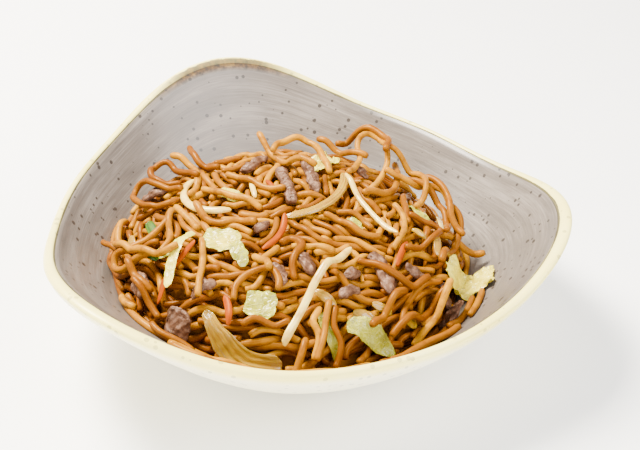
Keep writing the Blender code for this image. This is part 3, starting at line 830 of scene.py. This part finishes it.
def block_means(grid):
    return grid[: BLOCKS * BLOCK, : BLOCKS * BLOCK].reshape(BLOCKS, BLOCK, BLOCKS, BLOCK).mean((1, 3))


def fill(goal, over_toppings, most, tries, least, enough):
    """Lays noodles where the heap lacks most of its goal, until it lacks little; a place that takes none
    is left."""
    tired = np.zeros((BLOCKS, BLOCKS))
    outside = np.where(inside_share < 1.0, 0.0, -50.0)
    end = len(laid) + most
    for _ in range(4 * most):
        lack = block_means((goal - top) / steep + outside) - tired
        if lack.max() < enough or len(laid) == end:
            break
        order = np.argsort(lack, axis=None)[::-1][:16]
        i, j = np.unravel_index(order[chance.integers(0, len(order))], lack.shape)
        x = axis[i * BLOCK + BLOCK // 2]
        y = axis[j * BLOCK + BLOCK // 2]
        best = best_noodle(goal, x, y, over_toppings, tries, chance.uniform(-4, 5))
        if best is None or best[0] < least:
            tired[i, j] += 2.0
            continue
        tired[i, j] += 0.3
        lay(*best[1:])


def curve_through(places):
    """A smooth path through some places of the plan, in even steps."""
    ends = np.vstack((2 * places[0] - places[1], places, 2 * places[-1] - places[-2]))
    t = np.linspace(0, 1, 24, endpoint=False)[:, None]
    parts = []
    for a, b, c, d in zip(ends, ends[1:], ends[2:], ends[3:]):
        squared = a - 2.5 * b + 2 * c - d / 2
        cubed = 1.5 * (b - c) + (d - a) / 2
        parts.append(b + (c - a) * t / 2 + squared * t**2 + cubed * t**3)
    fine = np.vstack(parts + [places[-1:]])
    s = np.concatenate([[0.0], np.cumsum(np.linalg.norm(np.diff(fine, axis=0), axis=1))])
    even = np.arange(0, s[-1], STEP)
    return np.interp(even, s, fine[:, 0]), np.interp(even, s, fine[:, 1])


def lay_by_hand(places):
    """Lays a noodle through (x, y, z) places; where z is 0 it rests on what is beneath it."""
    places = np.array(places, float)
    x, y = curve_through(places[:, :2])
    turn = np.arctan2(np.gradient(y), np.gradient(x))
    z = bridged(resting(x, y, turn))
    at = [int(np.argmin(np.hypot(x - place[0], y - place[1]))) for place in places]
    lifts = [max(place[2] - z[spot], 0.0) for place, spot in zip(places, at)]
    lift = np.interp(np.arange(len(x)), at, lifts)
    apart = np.arange(len(x))[:, None] - np.arange(len(x))[None, :]
    weights = np.exp(-((apart / 3.5) ** 2))
    z = np.minimum(z + (weights @ lift) / weights.sum(1), HIGHEST)
    stamp(x, y, z)
    laid.append(np.column_stack((x, y, z)))


def lay_along_edge(angle, share, length):
    """Lays a noodle that follows the heap's edge, kept clear of the pieces above it."""
    turned_by = np.arange(0, length, STEP) / HEAP_R
    around = angle + turned_by
    wobble = 0.02 * np.sin(turned_by * chance.uniform(5, 9) + chance.uniform(0, 6.28))
    reach = (share + wobble) * heap_reach(around)
    x = reach * np.cos(around)
    y = reach * np.sin(around)
    turn = np.arctan2(np.gradient(y), np.gradient(x))
    clear = bridged(resting(x, y, turn)) + NOODLE_R < ceiling[cell_of(x, y)]
    _, first, last = best_run(np.where(clear, 1.0, -1000.0))
    if last - first >= SHORTEST:
        lay(x[first:last], y[first:last], turn[first:last])


# First come the noodles along the heap's edge, then the lower layers, kept beneath the toppings, and
# then those that may cross a topping.
for share in EDGE_RINGS:
    angle = chance.uniform(0, 1)
    start_angle = angle
    while angle < start_angle + 6.0:
        length = chance.uniform(35, 80)
        lay_along_edge(angle, share + chance.uniform(-0.02, 0.02), length)
        angle += length / HEAP_R + 0.04
for share in FRONT_RINGS:
    for angle in np.arange(-2.5, -0.7, 0.5):
        lay_along_edge(angle + chance.uniform(-0.1, 0.1), share, 36)
bed = bed_height(grid_x, grid_y)
edge_layer = bed + EDGE_THICKNESS * steep
goal = np.maximum(mound, edge_layer)
under_toppings = ceiling - 0.2
first_layer = np.minimum(bed + 2.2 * steep, under_toppings)
fill(first_layer, over_toppings=False, most=170, tries=8, least=1.2, enough=0.25)
lower_layers = np.minimum(goal + 0.8, under_toppings)
fill(lower_layers, over_toppings=False, most=280, tries=8, least=6.0, enough=0.4)
deep_count = len(laid)
top = np.maximum(top, cover)
fill(goal + 2.0, over_toppings=True, most=180, tries=12, least=6.0, enough=0.4)
# The loops and ends that stand out of the heap, and the noodles that hang to the front. Each noodle is
# a list of places (x, y, z), where a z of 0 rests on what is beneath it.
STANDING = (
    ((28, 4, 0), (38, 14, 60), (42, 27, 65), (49, 32, 66), (54, 26, 65), (52, 12, 62), (43, 2, 0), (33, -8, 0)),
    ((58, 16, 56), (55, 6, 58), (49, -4, 0), (41, -8, 0), (30, -9, 0)),
    ((-2, 50, 65), (-1, 43, 62), (1, 34, 0), (6, 22, 0), (14, 10, 0)),
    ((0, 34, 0), (5, 39, 63), (13, 40, 66), (19, 36, 64), (23, 27, 0), (22, 12, 0)),
    ((25, 38, 64), (30, 31, 62), (35, 23, 0), (42, 14, 0)),
    ((-45, 57, 56), (-40, 50, 54), (-37, 42, 0), (-39, 30, 0), (-46, 18, 0)),
    ((-35, 60, 57), (-35, 52, 56), (-33, 44, 0), (-26, 36, 0)),
    ((-38, 32, 0), (-44, 44, 0), (-48, 53, 53), (-55, 53, 52), (-58, 45, 52), (-54, 37, 0), (-46, 33, 0)),
    ((-48, 24, 0), (-58, 36, 0), (-64, 45, 48), (-69, 38, 47), (-66, 26, 48), (-57, 18, 0), (-50, 20, 0)),
    ((-88, 19, 38), (-84, 11, 38), (-80, 4, 0), (-74, -2, 0), (-66, -6, 0)),
    ((-58, 6, 0), (-68, 1, 0), (-78, 0, 0), (-85, 3, 38), (-86, -4, 36), (-79, -9, 0), (-70, -14, 0)),
    ((48, 6, 0), (58, -2, 55), (67, -3, 54), (73, -8, 54), (74, -18, 51), (73, -30, 0), (66, -42, 0)),
    ((81, -42, 41), (76, -38, 0), (69, -33, 0), (60, -32, 0)),
    ((-12, -68, 0), (-17, -73, 0), (-16, -79, 0), (-21, -86, 0)),
    ((-8, -68, 0), (-12, -75, 0), (-15, -81, 0), (-21, -89, 0)),
    ((-21, -76, 0), (-25, -82, 0), (-30, -87, 0)),
    ((-6, -70, 0), (-9, -77, 0), (-8, -84, 0), (-13, -90, 0)),
    ((20, -83, 0), (24, -76, 0), (31, -68, 0), (40, -64, 0), (49, -63, 0)),
    ((14, -86, 0), (24, -81, 0), (34, -75, 0), (44, -69, 0), (52, -66, 0)),
    ((6, -82, 0), (14, -77, 0), (22, -71, 0), (28, -69, 0)),
    ((26, -84, 0), (38, -78, 0), (46, -71, 0), (52, -64, 0)),
    ((-14, -36, 0), (-6, -37, 0), (0, -41, 0), (4, -45, 0)),
    ((12, -50, 0), (18, -55, 0), (24, -62, 0), (32, -66, 0), (42, -62, 0)),
    ((48, -24, 0), (56, -28, 0), (61, -33, 0), (55, -41, 0), (44, -46, 0), (36, -46, 0)),
    ((72, -16, 0), (75, -26, 0), (68, -37, 0), (58, -46, 0), (50, -56, 0)),
    ((44, -16, 0), (45, -25, 0), (40, -36, 0), (31, -45, 0)),
    ((8, -18, 0), (14, -25, 0), (19, -34, 0), (28, -38, 0)),
    ((-50, -18, 0), (-52, -27, 0), (-55, -35, 0), (-58, -43, 0), (-61, -51, 0)),
    ((-46, -54, 0), (-43, -48, 0), (-36, -45, 0), (-29, -48, 0), (-27, -56, 0), (-29, -62, 0)),
    ((-46, -65, 0), (-40, -65, 0), (-33, -69, 0), (-26, -70, 0)),
    ((-18, -33, 0), (-13, -31, 0), (-10, -38, 0), (-17, -46, 0), (-19, -55, 0)),
    ((-32, -37, 0), (-29, -45, 0), (-30, -53, 0)),
    ((-84, 10, 0), (-77, -8, 0), (-68, -19, 0), (-60, -19, 0)),
    ((-82, -8, 0), (-80, -18, 0), (-75, -29, 0)),
    ((-82, -20, 0), (-78, -31, 0), (-75, -41, 0)),
    ((-39, 21, 0), (-32, 12, 0), (-25, 4, 0), (-18, -6, 0)),
    ((-25, 28, 0), (-18, 18, 0), (-12, 8, 0), (-4, 2, 0)),
    ((-56, 12, 0), (-60, 2, 0), (-62, -8, 0), (-68, -14, 0)),
    ((59, 4, 0), (66, -7, 53), (69, -18, 51), (66, -30, 0), (60, -40, 0)),
    ((63, 6, 52), (71, -2, 51), (73, -14, 0), (70, -26, 0), (72, -36, 0)),
    ((52, 18, 57), (60, 11, 55), (66, 1, 52), (63, -10, 0), (55, -16, 0)),
    ((36, 40, 57), (44, 40, 60), (52, 34, 58), (56, 22, 0), (50, 12, 0)),
    ((-46, 8, 0), (-44, -2, 0), (-38, -8, 0), (-30, -10, 0), (-24, -18, 0)),
)
for places in STANDING:
    lay_by_hand(places)
bare_places = np.minimum(bed + 3.0 * steep, under_toppings)
fill(bare_places, over_toppings=False, most=90, tries=8, least=1.0, enough=0.15)


def tubes(name, paths, material):
    """Joined round tubes along paths, each with its own tone and how deep it lies in the heap, which darkens it
    as painted shade.
    """
    drawn = bpy.data.curves.new(name, "CURVE")
    drawn.dimensions = "3D"
    drawn.bevel_depth = NOODLE_R
    drawn.bevel_resolution = SIDES - 2
    drawn.use_fill_caps = True
    finder = KDTree(sum(len(path) for path in paths))
    tones = []
    for path in paths:
        tone = chance.random()
        spline = drawn.splines.new("POLY")
        spline.points.add(len(path) - 1)
        thick = chance.uniform(0.9, 1.1)
        swell = chance.uniform(0, 6.28)
        for number, (spot, point) in enumerate(zip(spline.points, path)):
            spot.co = (*point, 1.0)
            spot.radius = thick * (1 + 0.05 * math.sin(number * 0.37 + swell))
            finder.insert(point, len(tones))
            tones.append(tone)
        spline.points[0].radius = spline.points[-1].radius = 0.8
    finder.balance()
    guide = bpy.data.objects.new(name, drawn)
    bpy.context.scene.collection.objects.link(guide)
    evaluated = guide.evaluated_get(bpy.context.evaluated_depsgraph_get())
    bm = bmesh.new()
    bm.from_mesh(bpy.data.meshes.new_from_object(evaluated))
    bpy.data.objects.remove(guide)
    bmesh.ops.remove_doubles(bm, verts=bm.verts, dist=0.0001)
    bmesh.ops.recalc_face_normals(bm, faces=bm.faces)
    tone_layer = bm.verts.layers.float.new("tone")
    depth_layer = bm.verts.layers.float.new("depth")
    for vert in bm.verts:
        vert[tone_layer] = tones[finder.find(vert.co)[1]]
        i = min(max(round((vert.co.x + GRID_HALF) / CELL), 0), len(axis) - 1)
        j = min(max(round((vert.co.y + GRID_HALF) / CELL), 0), len(axis) - 1)
        vert[depth_layer] = max(skin[i, j] - vert.co.z, 0.0)
    put_in_place(bm)
    piece = add_piece(name, bm, material)
    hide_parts("noodles")


def softened(grid, reach):
    """A grid averaged over a square of this half width in cells."""
    size = 2 * reach + 1
    padded = np.pad(grid, reach + 1, mode="edge")[:-1, :-1]
    sums = padded.cumsum(0).cumsum(1)
    whole = sums[size:, size:] - sums[:-size, size:] - sums[size:, :-size] + sums[:-size, :-size]
    return whole / size**2


skin = softened(np.maximum(top, cover), 5)
egg_noodle, tree, shader = new_material("egg_noodle", Specular_IOR_Level=0.2, Subsurface_Weight=0.1)
shader.inputs["Specular Tint"].default_value = (1.0, 0.58, 0.18, 1.0)
shader.inputs["Subsurface Radius"].default_value = (0.004, 0.0015, 0.0004)
place = object_place(tree)
tone = attribute(tree, "tone").outputs["Fac"]
depth = attribute(tree, "depth").outputs["Fac"]
dark_dough = (0.14, 0.038, 0.0)
brown_dough = (0.22, 0.075, 0.0)
golden_dough = (0.33, 0.128, 0.0)
pale_dough = (0.47, 0.205, 0.0)
dough = ramp(tree, tone, (0.0, dark_dough), (0.35, brown_dough), (0.7, golden_dough), (1.0, pale_dough))
soy = ramp(tree, grain(tree, place, 110.0, 5.0, 0.65), (0.44, 0.0), (0.66, 0.8))
dough = mixed(tree, soy, dough, (0.12, 0.03, 0.0))
# Painted shade: a noodle darkens towards brown the deeper it lies beneath the heap's softened top.
shade = ramp(tree, product(tree, depth, 0.12), (0.15, 0.0), (0.9, 0.85))
dough = mixed(tree, shade, dough, (0.13, 0.03, 0.0))
tree.links.new(dough, shader.inputs["Base Color"])
tree.links.new(ramp(tree, grain(tree, place, 300.0), (0.3, 0.26), (0.7, 0.44)), shader.inputs["Roughness"])
bump(tree, shader, grain(tree, place, 380.0, 4.0), 0.3, 0.0005)
third = deep_count // 3
tubes("noodles_lowest", laid[:third], egg_noodle)
tubes("noodles_deep", laid[third : 2 * third], egg_noodle)
tubes("noodles_middle", laid[2 * third : deep_count], egg_noodle)
tubes("noodles_upper", laid[deep_count:], egg_noodle)

# The imported middle of the heap, which the noodles lie on: a ball of clumped noodles, pressed down to the
# bowl's wall below and to the bed of the lowest noodles above. It shows only in the gaps, and its dark brown
# is painted shade: the dough's colour darkened as it looks in the shade deep in the heap.
core_bm = bmesh.new()
bmesh.ops.create_uvsphere(core_bm, u_segments=72, v_segments=32, radius=1.0)
for vert in core_bm.verts:
    angle = math.atan2(vert.co.y, vert.co.x)
    reach = min(math.hypot(vert.co.x, vert.co.y), 1.0) * float(heap_reach(angle))
    x = reach * math.cos(angle)
    y = reach * math.sin(angle)
    wall = float(wall_height(x, y)) + OFF_WALL
    height = max(float(bed_height(x, y)), wall + CORE_EDGE) if vert.co.z > -0.001 else wall
    vert.co = (x, y, height)
put_in_place(core_bm)
heap_middle, tree, shader = new_material("noodle_core_painted_shade", Roughness=0.6, Specular_IOR_Level=0.12)
shader.inputs["Specular Tint"].default_value = (1.0, 0.5, 0.12, 1.0)
clumps = grain(tree, object_place(tree), 200.0, 4.0)
# Painted shade: the core's colour is the dough as it looks in the shade between the noodles.
painted_shade_core = ramp(tree, clumps, (0.3, (0.1, 0.026, 0.0)), (0.7, (0.23, 0.074, 0.0)))
tree.links.new(painted_shade_core, shader.inputs["Base Color"])
heap_core = add_piece("noodles_core", core_bm, heap_middle)
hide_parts("noodles")

# A plain pale table and soft studio lights, which aren't part of the object: a warm key light from the
# back left, a wide fill light from the front right and a broad light low at the front.
floor_bm = bmesh.new()
bmesh.ops.create_grid(floor_bm, x_segments=1, y_segments=1, size=6.0)
floor_mesh = bpy.data.meshes.new("table")
floor_bm.to_mesh(floor_mesh)
floor_bm.free()
table = bpy.data.objects.new("table", floor_mesh)
bpy.context.scene.collection.objects.link(table)
table_finish, tree, shader = new_material("pale_table", Roughness=0.7, Base_Color=(0.9, 0.9, 0.9, 1.0))
table_grain = grain(tree, object_place(tree), 40.0)
tree.links.new(ramp(tree, table_grain, (0.0, 0.94), (1.0, 0.96)), shader.inputs["Base Color"])
floor_mesh.materials.append(table_finish)


def soft_light(name, place, size, power, tint=(1.0, 1.0, 1.0)):
    """A square studio light, turned towards the food."""
    data = bpy.data.lights.new(name, "AREA")
    data.size = size
    data.energy = power
    data.color = tint
    lamp = bpy.data.objects.new(name, data)
    lamp.location = place
    lamp.rotation_euler = (Vector((0.0, 0.0, 0.03)) - Vector(place)).to_track_quat("-Z", "Y").to_euler()
    bpy.context.scene.collection.objects.link(lamp)


soft_light("key_light", (-0.35, 0.45, 0.9), 0.4, 80.0, (1.0, 0.93, 0.81))
soft_light("fill_light", (0.5, -0.6, 0.9), 0.7, 20.0)
soft_light("front_light", (-0.45, -1.1, 0.3), 0.9, 32.0)
world = bpy.data.worlds.new("studio")
bpy.context.scene.world = world
world.use_nodes = True
world.node_tree.nodes["Background"].inputs["Color"].default_value = (1.0, 1.0, 1.0, 1.0)
world.node_tree.nodes["Background"].inputs["Strength"].default_value = 0.7
